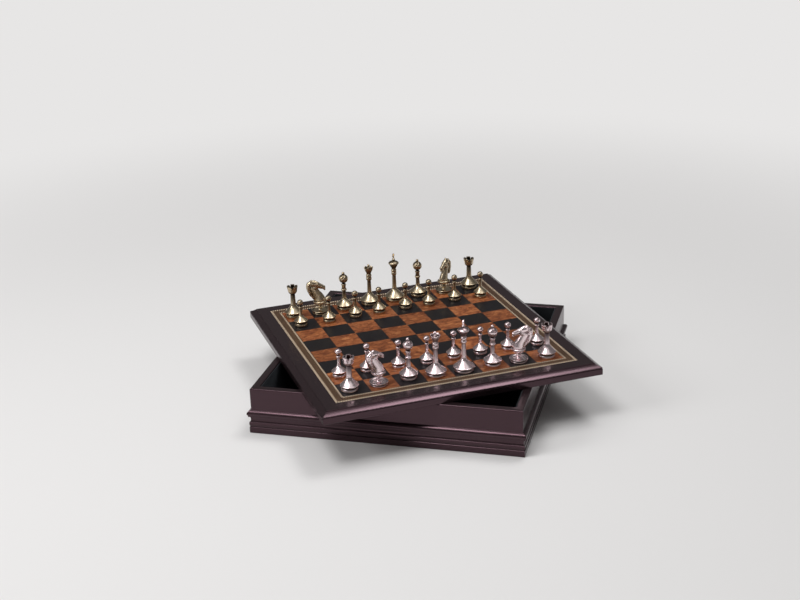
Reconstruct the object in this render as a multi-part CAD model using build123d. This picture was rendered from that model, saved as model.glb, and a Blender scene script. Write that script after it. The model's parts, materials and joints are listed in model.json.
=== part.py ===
from build123d import *
import os
from math import cos, radians, sin, sqrt

# A wooden chess box: a moulded open box lined with felt, a chessboard that is its
# lid and lies on it turned out of square, and the thirty-two turned metal chessmen
# of both sides in their places.
# Millimetres, +Z up. The origin is the middle of the box's underside, +X runs to the
# right along the box's front, and +Y to its back.

# ---- the chessboard lid ----
square = 30.4               # side of one playing square
squares_a_side = 8
veneer = 0.8                # squares, lines and band are laid in sheet this thick
edge_line = 0.5             # fine dark line round the playing field
inner_line = 1.8            # pale chequered line outside it
dark_band = 6.4             # brown band between the two pale lines
outer_line = 2.4            # outer pale chequered line
frame_flat = 13.5           # flat top of the wooden frame outside the lines
edge_run = 6.2              # how far the moulded edge runs out past the flat
quirk_step = 0.9            # small step down at the flat's outer edge
quirk_ledge = 0.6
edge_face = 6.6             # upright face at the bottom of the moulded edge
face_groove = 0.6           # fine groove between that face and the lip of the hollow
lip_height = 0.7
lid_height = 12.0
lid_turn = 33.5             # degrees, anticlockwise from above, out of square with the box

# ---- the ring under the lid, which finds the box's opening at any turn ----
ring_width = 9.0
ring_drop = 4.0             # how far it reaches down into the box
ring_play = 0.5             # clearance to the lining, all round

# ---- the box ----
box_height = 50.3
lid_overhang = 8.2          # how far the lid reaches past the walls when square
wall = 8.7
rim_round = 1.2             # rounding of the walls' top edges
bottom_thickness = 4.0
bottom_rebate = 4.4         # how far the bottom reaches into the walls
felt = 1.0
felt_below_rim = 1.2

# ---- the moulding round the foot of the box, from the bottom up ----
plinth_proud = 2.2          # beyond the walls
plinth_height = 7.0
plinth_groove = 0.7         # fine groove between the plinth and the lower bead
lower_bead_height = 6.4
neck_proud = 1.0
neck_height = 5.4
fillet_proud = 2.9          # narrow flat under the upper bead
fillet_height = 1.5
upper_bead_proud = 3.7
upper_bead_height = 5.8

# ---- the chessmen: overall height and widest diameter of the foot ----
king_height, king_foot = 57.15, 22.4
queen_height, queen_foot = 48.8, 21.8
bishop_height, bishop_foot = 45.7, 19.2
knight_height, knight_foot = 40.2, 19.6
rook_height, rook_foot = 37.5, 19.2
pawn_height, pawn_foot = 31.3, 15.4

# ---- what all the men share ----
disc_share = 0.87           # the bottom disc's diameter over the foot's
disc_height = 3.0
groove_height = 0.9
groove_depth = 1.3
rim_height = 0.9
ring_bulge = 0.55           # how far a collar's ring stands out of its waist
lean_in = 0.85              # a stem's diameter at the top over that at the bottom

# ---- stems, collars and heads ----
king_stem, king_skirt, king_collar = 5.1, 10.7, 6.2
king_saucer, king_ball, king_cross = 12.0, 3.5, 4.4
queen_stem, queen_skirt, queen_collar = 5.0, 10.0, 6.6
queen_crown, queen_ball, crown_points = 10.8, 3.0, 9
bishop_stem, bishop_skirt, bishop_collar = 4.8, 8.8, 6.6
bishop_head, bishop_head_height, bishop_ball, bishop_slit = 10.6, 10.2, 3.4, 0.9
rook_stem, rook_skirt, rook_cup = 6.0, 10.4, 11.8
rook_cup_height, rook_cup_wall, merlons, notch = 9.4, 1.9, 5, 2.3
pawn_stem, pawn_skirt, pawn_collar, pawn_ball = 3.5, 8.2, 4.8, 6.9
knight_waist, knight_bead, knight_bowl = 3.4, 4.6, 14.8
neck_deep, neck_broad, neck_lean = 13.2, 10.4, 8.0
head_reach, head_drop, cheek_deep, cheek_broad = 19.6, 9.6, 8.0, 5.8
ear_width, ear_height = 2.0, 3.0
mane_width, mane_reach = 3.4, 14.2

# ---- worked out from the above ----
field_half = squares_a_side * square / 2
line_inner = field_half + edge_line
band_inner = line_inner + inner_line
band_outer = band_inner + dark_band
panel_half = band_outer + outer_line
flat_half = panel_half + frame_flat
lid_half = flat_half + edge_run
lid_bottom = box_height
lid_top = lid_bottom + lid_height
wall_outer = lid_half - lid_overhang
wall_inner = wall_outer - wall
opening_half = wall_inner - felt
ring_outer = opening_half - ring_play

nodes = {}


# ---------------------------------------------------------------- mitred frames
def side_bar(section, reach, height):
    """One side of a square frame, on the +Y side. The section is drawn as (distance
    from the middle, height), run along X and cut off at 45 degrees at both ends."""
    bar = extrude(Plane.YZ * section, amount=reach, both=True)
    corner = make_face(Polyline((0, 0), (reach, reach), (-reach, reach), (0, 0)))
    return bar & extrude(corner, amount=height)


def four_sides(name, section, reach, height, turn=0):
    """The four bars of a frame, each a node of its own named after its side."""
    bar = side_bar(section, reach, height)
    for k, side in enumerate(("back", "left", "front", "right")):
        nodes[f"{name}_{side}"] = Rot(0, 0, 90 * k + turn) * bar


def strip(inner, outer, bottom, top):
    """A plain rectangular section from one distance to another."""
    return make_face(Polyline((inner, bottom), (outer, bottom), (outer, top), (inner, top),
                              (inner, bottom)))


# ---------------------------------------------------------------- the box
def wall_section():
    """A wall with rounded top edges and a rebate along its foot for the bottom."""
    seat = wall_inner + bottom_rebate
    shoulder = box_height - rim_round
    soft = rim_round * (1 - sin(radians(45)))
    outer, inner = wall_outer - rim_round, wall_inner + rim_round
    return make_face(
        Polyline((inner, box_height), (outer, box_height)).edges()
        + ThreePointArc((outer, box_height), (wall_outer - soft, box_height - soft),
                        (wall_outer, shoulder)).edges()
        + Polyline((wall_outer, shoulder), (wall_outer, 0), (seat, 0), (seat, bottom_thickness),
                   (wall_inner, bottom_thickness), (wall_inner, shoulder)).edges()
        + ThreePointArc((wall_inner, shoulder), (wall_inner + soft, box_height - soft),
                        (inner, box_height)).edges())


def plinth_section():
    """Plinth, fine groove, lower bead, hollow neck, fillet and upper bead, on the wall."""
    plinth = wall_outer + plinth_proud
    groove = plinth - plinth_groove
    neck = wall_outer + neck_proud
    fillet = wall_outer + fillet_proud
    bead = wall_outer + upper_bead_proud
    low = plinth_height + lower_bead_height
    high = low + neck_height
    seat = high + fillet_height
    top = seat + upper_bead_height
    return make_face(
        Polyline((wall_outer, top), (wall_outer, 0), (plinth, 0), (plinth, plinth_height),
                 (groove, plinth_height)).edges()
        + ThreePointArc((groove, plinth_height), (plinth, plinth_height + lower_bead_height * 0.6),
                        (groove, low)).edges()
        + ThreePointArc((groove, low), (neck, low + neck_height / 2), (groove, high)).edges()
        + Polyline((groove, high), (fillet, high), (fillet, seat)).edges()
        + ThreePointArc((fillet, seat), (bead, seat + upper_bead_height * 0.36),
                        (wall_outer, top)).edges())


moulding_height = (plinth_height + lower_bead_height + neck_height + fillet_height
                   + upper_bead_height)
four_sides("wall", wall_section(), wall_outer, box_height)
four_sides("plinth", plinth_section(), wall_outer + upper_bead_proud, moulding_height)

bottom_side = 2 * (wall_inner + bottom_rebate)
nodes["bottom_panel"] = Pos(0, 0, bottom_thickness / 2) * Box(
    bottom_side, bottom_side, bottom_thickness)
nodes["floor_lining"] = Pos(0, 0, bottom_thickness + felt / 2) * Box(
    2 * wall_inner, 2 * wall_inner, felt)
lining_bar = side_bar(
    strip(opening_half, wall_inner, bottom_thickness + felt, box_height - felt_below_rim),
    wall_inner, box_height)
nodes["wall_lining"] = Compound([Rot(0, 0, 90 * k) * lining_bar for k in range(4)])


# ---------------------------------------------------------------- the lid
def frame_section():
    """Flat top, a small step, a hollow that sweeps out to a lip, a fine groove and an
    upright lower face."""
    step = lid_top - quirk_step
    ledge = flat_half + quirk_ledge
    face_top = lid_bottom + edge_face
    lip_bottom = face_top + face_groove
    lip = lip_bottom + lip_height
    groove = lid_half - face_groove
    run, drop = lid_half - ledge, step - lip
    return make_face(
        Polyline((ledge, step), (flat_half, step), (flat_half, lid_top),
                 (panel_half, lid_top), (panel_half, lid_bottom), (lid_half, lid_bottom),
                 (lid_half, face_top), (groove, face_top), (groove, lip_bottom),
                 (lid_half, lip_bottom), (lid_half, lip)).edges()
        + Bezier((lid_half, lip), (ledge + 0.55 * run, lip + 0.08 * drop),
                 (ledge + 0.12 * run, lip + 0.35 * drop), (ledge, step)).edges())


four_sides("board_frame", frame_section(), lid_half, lid_top, lid_turn)
on_lid = Rot(0, 0, lid_turn)
panel_thickness = lid_height - veneer
nodes["board_panel"] = on_lid * Pos(0, 0, lid_bottom + panel_thickness / 2) * Box(
    2 * panel_half, 2 * panel_half, panel_thickness)


def place(column, row):
    """Middle of a square in the lid's own frame: columns from the left, rows from the front."""
    middle = (squares_a_side - 1) / 2
    return (column - middle) * square, (row - middle) * square


def squares(colour):
    """All the squares of one colour; the near left corner square is dark (0)."""
    tile = Box(square, square, veneer)
    cells = [(c, r) for c in range(squares_a_side) for r in range(squares_a_side)
             if (c + r) % 2 == colour]
    return Compound([on_lid * Pos(*place(c, r), lid_top - veneer / 2) * tile for c, r in cells])


nodes["dark_squares"] = squares(0)
nodes["light_squares"] = squares(1)


def inlaid(inner, outer):
    """Four mitred strips of veneer between two distances from the middle."""
    bar = side_bar(strip(inner, outer, lid_top - veneer, lid_top), outer, lid_top)
    return [Rot(0, 0, 90 * k + lid_turn) * bar for k in range(4)]


nodes["edge_line"] = Compound(inlaid(field_half, line_inner))
nodes["pale_lines"] = Compound(inlaid(line_inner, band_inner) + inlaid(band_outer, panel_half))
nodes["inlay_band"] = Compound(inlaid(band_inner, band_outer))

ring_inner = ring_outer - ring_width
nodes["locating_ring"] = Pos(0, 0, lid_bottom - ring_drop / 2) * (
    Cylinder(ring_outer, ring_drop) - Cylinder(ring_inner, ring_drop))
nodes["lid_lining"] = Pos(0, 0, lid_bottom - felt / 2) * Cylinder(ring_inner - ring_play, felt)


# ---------------------------------------------------------------- turned men
class Turning:
    """The outline of a turned man, drawn from the middle of its underside upwards as
    (radius, height) and spun about its axis."""

    def __init__(self, foot, stem, skirt):
        """A bottom disc, a groove and a skirt that sweeps in to the stem."""
        rim = foot / 2
        disc = rim * disc_share
        self.at = (0, 0)
        self.edges = []
        soft = disc_height / 4
        self.line(disc, 0)
        self.line(disc + soft / 2, soft)
        self.line(disc + soft / 2, disc_height - soft)
        self.line(disc, disc_height)
        self.line(disc - groove_depth, disc_height)
        self.line(disc - groove_depth, disc_height + groove_height)
        self.line(rim, disc_height + groove_height)
        self.bulge(rim + rim_height / 4, rim, self.at[1] + rim_height)
        self.flare(stem / 2, self.at[1] + skirt)

    def line(self, radius, height):
        self.edges += Line(self.at, (radius, height)).edges()
        self.at = (radius, height)

    def bulge(self, widest, radius, height):
        """An arc that swells (or draws in) to its widest half way up."""
        middle = (widest, (self.at[1] + height) / 2)
        self.edges += ThreePointArc(self.at, middle, (radius, height)).edges()
        self.at = (radius, height)

    def flare(self, radius, height):
        """A sweep between a wide low edge and a narrow upright one."""
        r0, z0 = self.at
        run, rise = radius - r0, height - z0
        self.edges += Bezier(self.at, (r0 + 0.45 * run, z0 + 0.36 * rise),
                             (radius - 0.01 * run, z0 + 0.68 * rise), (radius, height)).edges()
        self.at = (radius, height)

    def collar(self, diameter, height, rings):
        """Rounded rings one above the other, with a narrow waist between them."""
        waist = diameter / 2 - ring_bulge
        self.line(waist, self.at[1])
        for _ in range(rings):
            self.bulge(diameter / 2, waist, self.at[1] + height / rings)

    def ball(self, diameter):
        """A ball up to the pole, from where its surface has the present radius."""
        radius, (r0, z0) = diameter / 2, self.at
        middle = z0 + sqrt(radius ** 2 - r0 ** 2)
        self.edges += ThreePointArc(self.at, (radius, middle), (0, middle + radius)).edges()
        self.at = (0, middle + radius)

    def solid(self):
        if self.at[0] > 0:
            self.line(0, self.at[1])
        outline = self.edges + Line(self.at, (0, 0)).edges()
        return revolve(Plane.XZ * make_face(outline), Axis.Z)


def pawn():
    head = pawn_height - pawn_ball
    man = Turning(pawn_foot, pawn_stem, pawn_skirt)
    man.line(pawn_stem * lean_in / 2, head - 2.4)
    man.collar(pawn_collar, 1.9, 1)
    man.line(pawn_stem * 0.35, man.at[1])
    sink = pawn_ball / 2 - sqrt((pawn_ball / 2) ** 2 - man.at[0] ** 2)
    man.line(man.at[0], head + sink)
    man.ball(pawn_ball)
    return man.solid()


def rook():
    cup_bottom = rook_height - rook_cup_height
    cup = rook_cup / 2
    man = Turning(rook_foot, rook_stem, rook_skirt)
    man.line(rook_stem * lean_in / 2, cup_bottom - 0.8)
    man.line(cup * 0.4, cup_bottom)
    man.bulge(cup * 0.76, cup * 0.88, cup_bottom + rook_cup_height * 0.45)
    man.line(cup, rook_height)
    hollow = cup - rook_cup_wall
    depth = rook_cup_height * 0.5
    body = man.solid() - Pos(0, 0, rook_height - depth / 2) * Cylinder(hollow, depth)
    gap = Pos(cup, 0, rook_height - depth / 2) * Box(cup, notch, depth)
    for k in range(merlons):
        body -= Rot(0, 0, (k + 0.5) * 360 / merlons) * gap
    return body


def bishop():
    ball_seat = bishop_height - bishop_ball
    collar_height, ring_height, bare_neck = 8.2, 2.2, 1.4
    head_bottom = ball_seat + 0.4 - bishop_head_height
    ring = bishop_collar / 2
    man = Turning(bishop_foot, bishop_stem, bishop_skirt)
    man.line(bishop_stem * lean_in / 2, head_bottom - bare_neck - collar_height)
    man.line(ring - ring_bulge, man.at[1])
    man.bulge(ring, ring - ring_bulge, man.at[1] + ring_height)
    man.line(ring * 0.72, man.at[1])
    man.line(ring * 0.72, man.at[1] + collar_height - 2 * ring_height)
    man.bulge(ring * 0.88, ring * 0.72, man.at[1] + ring_height)
    man.line(ring * 0.5, man.at[1])
    man.line(ring * 0.5, head_bottom)
    man.bulge(bishop_head / 2, 1.0, ball_seat + 0.4)
    man.ball(bishop_ball)
    slit = Pos(bishop_head / 2, 0, head_bottom + bishop_head_height * 0.6) * Rot(0, -42, 0) * Box(
        bishop_head, bishop_head, bishop_slit)
    return man.solid() - slit


def crowned(height, foot, stem, skirt, collar, crown, crown_height, neck):
    """What king and queen share: stem, two rings, a dark neck and a spreading crown."""
    collar_height = 7.2
    crown_bottom = height - crown_height
    man = Turning(foot, stem, skirt)
    man.line(stem * lean_in / 2, crown_bottom - neck - collar_height)
    man.collar(collar, collar_height, 2)
    man.line(collar * 0.4, man.at[1])
    man.bulge(collar * 0.5, crown * 0.37, crown_bottom)
    return man


def king():
    saucer_height = 4.6
    ball_height = king_ball * 0.85
    cross_height = 6.6
    above = saucer_height + ball_height + cross_height
    man = crowned(king_height, king_foot, king_stem, king_skirt, king_collar, king_saucer,
                  above, 4.8)
    brim = man.at[1] + saucer_height * 0.6
    man.bulge(king_saucer * 0.46, king_saucer / 2, brim)
    man.line(king_saucer * 0.47, brim + 0.6)
    man.bulge(king_saucer * 0.24, king_ball * 0.3, man.at[1] + saucer_height * 0.4 - 0.6)
    man.ball(king_ball)
    # the cross: four arms that widen outwards, sunk a little into the ball
    arm, tip, middle = king_cross / 2, king_cross * 0.19, king_height - king_cross * 0.55
    waist = king_cross * 0.12
    foot_z = man.at[1] - 0.5
    cross = make_face(Polyline(
        (-tip, foot_z), (tip, foot_z), (waist, middle - waist), (arm, middle - tip),
        (arm, middle + tip), (waist, middle + waist), (tip, king_height), (-tip, king_height),
        (-waist, middle + waist), (-arm, middle + tip), (-arm, middle - tip),
        (-waist, middle - waist), (-tip, foot_z)))
    return man.solid() + extrude(Plane.XZ * cross, amount=king_cross * 0.2, both=True)


def queen():
    coronet = 6.4
    man = crowned(queen_height, queen_foot, queen_stem, queen_skirt, queen_collar, queen_crown,
                  coronet + queen_ball * 0.6, 4.0)
    lip = man.at[1] + coronet * 0.72
    edge = queen_crown / 2
    man.bulge(edge * 0.82, edge, lip)
    man.line(edge * 0.84, lip)
    man.line(edge * 0.7, lip - coronet * 0.3)
    crown_top = queen_height - queen_ball * 0.9
    man.bulge(edge * 0.62, queen_ball * 0.28, crown_top)
    man.ball(queen_ball)
    body = man.solid()
    scallop = Pos(edge, 0, lip) * Rot(0, 90, 0) * Cylinder(edge * 0.24, edge * 0.9)
    for k in range(crown_points):
        body -= Rot(0, 0, k * 360 / crown_points) * scallop
    return body


# ---------------------------------------------------------------- the knight
def oval(x, z, lean, deep, broad):
    """An oval cross-section of the horse at (x, z), square to a line that leans forwards
    by so many degrees from upright; deep is its front-to-back size, broad its width."""
    middle = Plane(origin=(x, 0, z), x_dir=(cos(radians(lean)), 0, -sin(radians(lean))),
                   z_dir=(sin(radians(lean)), 0, cos(radians(lean))))
    return middle * Ellipse(deep / 2, broad / 2)


def knight():
    """A saucer foot, a bead and a bowl, and a horse's neck that leans back from the bowl,
    a head that reaches forwards, and a mane that arches free behind the neck."""
    man = Turning(knight_foot, knight_foot * 0.55, 1.2)
    man.flare(knight_waist / 2, man.at[1] + 1.2)
    man.bulge(knight_bead / 2, knight_waist / 2, man.at[1] + knight_bead * 0.75)
    bowl_bottom = man.at[1]
    bowl = knight_bowl / 2
    man.bulge(bowl * 0.72, bowl, bowl_bottom + 3.2)
    man.line(bowl, bowl_bottom + 4.0)
    man.line(bowl * 0.78, bowl_bottom + 4.6)
    root = man.at[1]
    body = man.solid()
    rise = knight_height - root
    neck = loft([oval(neck_lean * x, root + rise * up, lean, neck_deep * deep, neck_broad * broad)
                 for x, up, lean, deep, broad in
                 ((0.04, -0.03, -4, 1.0, 1.0), (-0.2, 0.19, -25, 0.87, 0.78),
                  (-0.58, 0.4, -32, 0.7, 0.62), (-1.0, 0.66, -20, 0.62, 0.52))])
    head = loft([oval(head_reach * x, knight_height - head_drop * down, lean,
                      cheek_deep * deep, cheek_broad * broad)
                 for x, down, lean, deep, broad in
                 ((-0.6, 0.42, 80, 0.5, 0.6), (-0.41, 0.42, 98, 0.95, 0.95),
                  (-0.15, 0.6, 108, 1.0, 1.0), (0.14, 0.8, 112, 0.66, 0.7),
                  (0.41, 0.96, 108, 0.52, 0.62))])
    half_mane = mane_width / 2
    arch = ThreePointArc((-mane_reach * 0.62, 0, knight_height - head_drop * 0.25 - half_mane),
                         (-mane_reach + half_mane, 0, root + rise * 0.58),
                         (-mane_reach * 0.4, 0, root + 0.2))
    mane = sweep(Plane(origin=arch @ 0, z_dir=arch % 0) * Circle(mane_width / 2), path=arch)
    ear = Cone(ear_width / 2, ear_width / 10, ear_height)
    ears = [Pos(-head_reach * 0.466, side * ear_width * 0.65, knight_height - ear_height / 2)
            * Rot(side * -10, -14, 0) * ear for side in (-1, 1)]
    body = body + neck + head + mane
    for one in ears:
        body += one
    return body


men = {"king": king(), "queen": queen(), "bishop": bishop(), "knight": knight(),
       "rook": rook(), "pawn": pawn()}
back_rank = ("rook", "knight", "bishop", "queen", "king", "bishop", "knight", "rook")
files = "abcdefgh"
# which way each knight looks, in degrees from the board's own +X
knight_facing = {"silver_knight_b": 22, "silver_knight_g": 162,
                 "bronze_knight_b": -18, "bronze_knight_g": 222}
# how far each man, set down by hand, stands from the middle of its square: along its
# row, and away from the silver side
off_centre = {
    ("silver", "officers"): ((-4.7, -3.2), (-3.7, -2.2), (-0.6, 0.4), (-2.0, -2.1),
                             (-1.8, -3.6), (0.5, -2.4), (-1.0, -4.4), (0.6, -4.8)),
    ("silver", "pawns"): ((-4.6, 3.2), (-3.9, 4.8), (-1.0, 1.0), (-0.2, -1.0),
                          (0.2, 1.1), (-0.1, -0.2), (1.3, -0.4), (4.8, -0.8)),
    ("bronze", "officers"): ((-4.8, -0.6), (-4.0, -2.0), (-4.7, -1.2), (-2.8, 3.5),
                             (-2.3, 3.4), (-3.1, 4.6), (-1.5, 2.2), (1.2, 4.4)),
    ("bronze", "pawns"): ((-4.2, 0.3), (-1.7, -0.5), (0.1, 2.0), (-1.5, 2.5),
                          (0.7, 3.6), (-1.0, 2.8), (1.2, 4.6), (2.5, 2.3)),
}


def set_up(colour, officers_row, pawns_row):
    """One side's sixteen men on their squares, each a node named by colour, kind and file."""
    for column, letter in enumerate(files):
        for kind, rank, row in ((back_rank[column], "officers", officers_row),
                                ("pawn", "pawns", pawns_row)):
            name = f"{colour}_{kind}_{letter}"
            facing = Rot(0, 0, knight_facing.get(name, 0))
            stray = Pos(*off_centre[colour, rank][column], 0)
            nodes[name] = (on_lid * Pos(*place(column, row), lid_top) * stray
                           * facing * men[kind])


set_up("silver", 0, 1)
set_up("bronze", squares_a_side - 1, squares_a_side - 2)

os.makedirs("parts", exist_ok=True)
for name, shape in nodes.items():
    export_step(shape, f"parts/{name}.step")
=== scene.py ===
import json
import math
import bpy
import numpy as np
from mathutils import Matrix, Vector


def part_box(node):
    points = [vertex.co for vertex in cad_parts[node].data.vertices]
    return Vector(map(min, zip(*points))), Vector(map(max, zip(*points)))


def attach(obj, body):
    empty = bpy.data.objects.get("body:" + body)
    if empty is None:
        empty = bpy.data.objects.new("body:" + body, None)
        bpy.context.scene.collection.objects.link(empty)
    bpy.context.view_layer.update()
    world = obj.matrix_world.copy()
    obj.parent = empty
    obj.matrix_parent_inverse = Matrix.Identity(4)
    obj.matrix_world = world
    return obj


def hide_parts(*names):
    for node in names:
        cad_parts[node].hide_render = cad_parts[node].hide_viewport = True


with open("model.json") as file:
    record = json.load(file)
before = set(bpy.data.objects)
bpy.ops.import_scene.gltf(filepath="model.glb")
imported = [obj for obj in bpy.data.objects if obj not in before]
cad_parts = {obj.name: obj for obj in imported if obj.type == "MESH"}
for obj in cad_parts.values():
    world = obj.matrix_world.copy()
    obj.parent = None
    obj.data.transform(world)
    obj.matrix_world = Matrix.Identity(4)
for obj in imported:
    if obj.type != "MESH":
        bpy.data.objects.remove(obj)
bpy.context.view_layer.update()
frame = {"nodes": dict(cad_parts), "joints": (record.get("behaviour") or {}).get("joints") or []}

# ------------------------------------------------------------------ camera
# The object is seen from the front, a little from the right and from above, with a
# slight roll; place and lens were fitted to the corners of squares, lid, walls and plinth.
camera_at = (0.3504, -1.3746, 0.6638)
camera_round = math.radians(14.97)      # from straight in front, to the right
camera_down = math.radians(21.54)
camera_roll = math.radians(-1.89)
lens_mm = 62.56

camera = bpy.data.objects.new("camera", bpy.data.cameras.new("camera"))
camera.data.lens = lens_mm
camera.data.sensor_width = 36.0
camera.matrix_world = (
    Matrix.Translation(camera_at) @ Matrix.Rotation(camera_round, 4, "Z")
    @ Matrix.Rotation(math.pi / 2 - camera_down, 4, "X") @ Matrix.Rotation(camera_roll, 4, "Z"))
bpy.context.scene.collection.objects.link(camera)
bpy.context.scene.camera = camera

# ------------------------------------------------------------------ studio
# A plain pale floor that fades into a pale backdrop away from the object, a soft lamp
# high in front, a wide one and a smaller one overhead and one on the left.
floor_reach = 9.0
fade_from, fade_to = 0.45, 1.3          # metres from the middle
floor_tone = (0.80, 0.79, 0.785, 1.0)
sky_tone = (0.80, 0.79, 0.785, 1.0)
sky_light, sky_gloss = 0.17, 0.11      # the higher of the two lights glossy rays
lamps = {                     # place, width and depth in metres, watts
    "key_lamp": ((-0.48, -0.78, 2.0), (0.8, 0.7), 15.0),
    "wide_lamp": ((0.0, -0.1, 2.5), (3.2, 3.2), 18.0),
    "top_lamp": ((0.42, 0.60, 2.1), (0.8, 0.6), 11.5),
    "left_lamp": ((-1.7, -1.2, 1.3), (0.9, 0.9), 17.0),
}


def node_material(name):
    """A new material with its Principled shader: returns (material, nodes, links, shader)."""
    material = bpy.data.materials.new(name)
    material.use_nodes = True
    tree = material.node_tree
    return material, tree.nodes, tree.links, tree.nodes["Principled BSDF"]


def link_mesh(name, points, faces, smooth_degrees=None):
    """Points (n x 3, metres) and faces become a mesh object that sits at the origin."""
    mesh = bpy.data.meshes.new(name)
    mesh.from_pydata(np.asarray(points, float).tolist(), [], faces)
    mesh.update()
    if smooth_degrees is not None:
        mesh.polygons.foreach_set("use_smooth", np.ones(len(mesh.polygons), bool))
        mesh.set_sharp_from_angle(angle=math.radians(smooth_degrees))
    piece = bpy.data.objects.new(name, mesh)
    bpy.context.scene.collection.objects.link(piece)
    return piece


floor = link_mesh("studio_floor", [(-floor_reach, -floor_reach, 0), (floor_reach, -floor_reach, 0),
                                   (floor_reach, floor_reach, 0), (-floor_reach, floor_reach, 0)],
                  [(0, 1, 2, 3)])
floor_paint, nodes, links, shader = node_material("floor_paint")
shader.inputs["Base Color"].default_value = floor_tone
shader.inputs["Roughness"].default_value = 0.9
shader.inputs["Specular IOR Level"].default_value = 0.1
place = nodes.new("ShaderNodeTexCoord")
reach = nodes.new("ShaderNodeVectorMath")
reach.operation = "LENGTH"
links.new(place.outputs["Object"], reach.inputs[0])
fade = nodes.new("ShaderNodeMapRange")
fade.interpolation_type = "SMOOTHSTEP"
fade.inputs["From Min"].default_value = fade_from
fade.inputs["From Max"].default_value = fade_to
links.new(reach.outputs["Value"], fade.inputs["Value"])
path = nodes.new("ShaderNodeLightPath")
seen = nodes.new("ShaderNodeMath")
seen.operation = "MULTIPLY"
links.new(fade.outputs["Result"], seen.inputs[0])
links.new(path.outputs["Is Camera Ray"], seen.inputs[1])
backdrop = nodes.new("ShaderNodeEmission")
backdrop.inputs["Color"].default_value = floor_tone
join = nodes.new("ShaderNodeMixShader")
links.new(seen.outputs["Value"], join.inputs["Fac"])
links.new(shader.outputs["BSDF"], join.inputs[1])
links.new(backdrop.outputs["Emission"], join.inputs[2])
links.new(join.outputs["Shader"], nodes["Material Output"].inputs["Surface"])
floor.data.materials.append(floor_paint)

world = bpy.data.worlds.new("studio_air")
bpy.context.scene.world = world
world.use_nodes = True
nodes, links = world.node_tree.nodes, world.node_tree.links
sky = nodes["Background"]
sky.inputs["Color"].default_value = sky_tone
path = nodes.new("ShaderNodeLightPath")
seen = nodes.new("ShaderNodeMath")
seen.operation = "MAXIMUM"
links.new(path.outputs["Is Camera Ray"], seen.inputs[0])
links.new(path.outputs["Is Transmission Ray"], seen.inputs[1])
gloss = nodes.new("ShaderNodeMath")
gloss.operation = "MULTIPLY"
gloss.inputs[1].default_value = sky_gloss
links.new(path.outputs["Is Glossy Ray"], gloss.inputs[0])
either = nodes.new("ShaderNodeMath")
either.operation = "MAXIMUM"
links.new(seen.outputs["Value"], either.inputs[0])
links.new(gloss.outputs["Value"], either.inputs[1])
level = nodes.new("ShaderNodeMath")
level.operation = "MAXIMUM"
level.inputs[1].default_value = sky_light
links.new(either.outputs["Value"], level.inputs[0])
links.new(level.outputs["Value"], sky.inputs["Strength"])

for name, (place, size, watts) in lamps.items():
    lamp = bpy.data.lights.new(name, "AREA")
    lamp.shape = "RECTANGLE"
    lamp.size, lamp.size_y = size
    lamp.energy = watts
    holder = bpy.data.objects.new(name, lamp)
    holder.location = place
    aim = Matrix.Translation(place).to_translation() * -1.0
    holder.rotation_euler = aim.to_track_quat("-Z", "Y").to_euler()
    bpy.context.scene.collection.objects.link(holder)
bpy.context.scene.view_settings.view_transform = "Standard"

# ------------------------------------------------------------------ stained wood
# Box, mouldings and board frame are hardwood stained to a very dark red-brown and
# lacquered, so that rounded edges catch the light in a line whose dusky pink is a painted tint of the
# reflections.
mm = 0.001
lid_turn = math.radians(-frame["joints"][1]["range_deg"][0])


def wood_grain(nodes, links, along, scale):
    """Long streaks of grain: noise squeezed along a direction given in radians from +X."""
    place = nodes.new("ShaderNodeTexCoord")
    turn = nodes.new("ShaderNodeMapping")
    turn.inputs["Rotation"].default_value = (0.0, 0.0, -along)
    links.new(place.outputs["Object"], turn.inputs["Vector"])
    squeeze = nodes.new("ShaderNodeVectorMath")
    squeeze.operation = "MULTIPLY"
    squeeze.inputs[1].default_value = (scale * 0.05, scale, scale)
    links.new(turn.outputs["Vector"], squeeze.inputs[0])
    streaks = nodes.new("ShaderNodeTexNoise")
    streaks.inputs["Scale"].default_value = 1.0
    streaks.inputs["Detail"].default_value = 6.0
    streaks.inputs["Roughness"].default_value = 0.62
    streaks.inputs["Distortion"].default_value = 0.25
    links.new(squeeze.outputs["Vector"], streaks.inputs["Vector"])
    return streaks.outputs["Fac"]


def ramp(nodes, links, value, *stops):
    """A colour ramp over a value: each stop is (position, (r, g, b))."""
    shade = nodes.new("ShaderNodeValToRGB")
    marks = shade.color_ramp.elements
    while len(marks) < len(stops):
        marks.new(0.5)
    for mark, (position, colour) in zip(marks, stops):
        mark.position = position
        mark.color = (*colour, 1.0)
    links.new(value, shade.inputs["Fac"])
    return shade.outputs["Color"]


def spread(nodes, links, value, low, high):
    """A 0 to 1 value stretched to run from low to high."""
    wide = nodes.new("ShaderNodeMapRange")
    wide.inputs["To Min"].default_value = low
    wide.inputs["To Max"].default_value = high
    links.new(value, wide.inputs["Value"])
    return wide.outputs["Result"]


def raised(nodes, links, shader, height, depth):
    """A bump on the shader from a 0 to 1 height, so many metres deep."""
    bump = nodes.new("ShaderNodeBump")
    bump.inputs["Strength"].default_value = 1.0
    bump.inputs["Distance"].default_value = depth
    links.new(height, bump.inputs["Height"])
    links.new(bump.outputs["Normal"], shader.inputs["Normal"])


def stained_wood(name, along):
    """Dark red-brown stained wood with its grain along one direction."""
    material, nodes, links, shader = node_material(name)
    grain = wood_grain(nodes, links, along, 900.0)
    tone = ramp(nodes, links, grain, (0.30, (0.011, 0.007, 0.008)), (0.52, (0.015, 0.009, 0.010)),
                (0.75, (0.019, 0.011, 0.012)))
    links.new(tone, shader.inputs["Base Color"])
    links.new(spread(nodes, links, grain, 0.20, 0.25), shader.inputs["Roughness"])
    shader.inputs["Specular IOR Level"].default_value = 0.72
    # Painted reflection: the lacquer's reflections are tinted pink, as if pink surroundings were
    # mirrored.
    shader.inputs["Specular Tint"].default_value = (1.0, 0.60, 0.72, 1.0)
    return material


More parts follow.
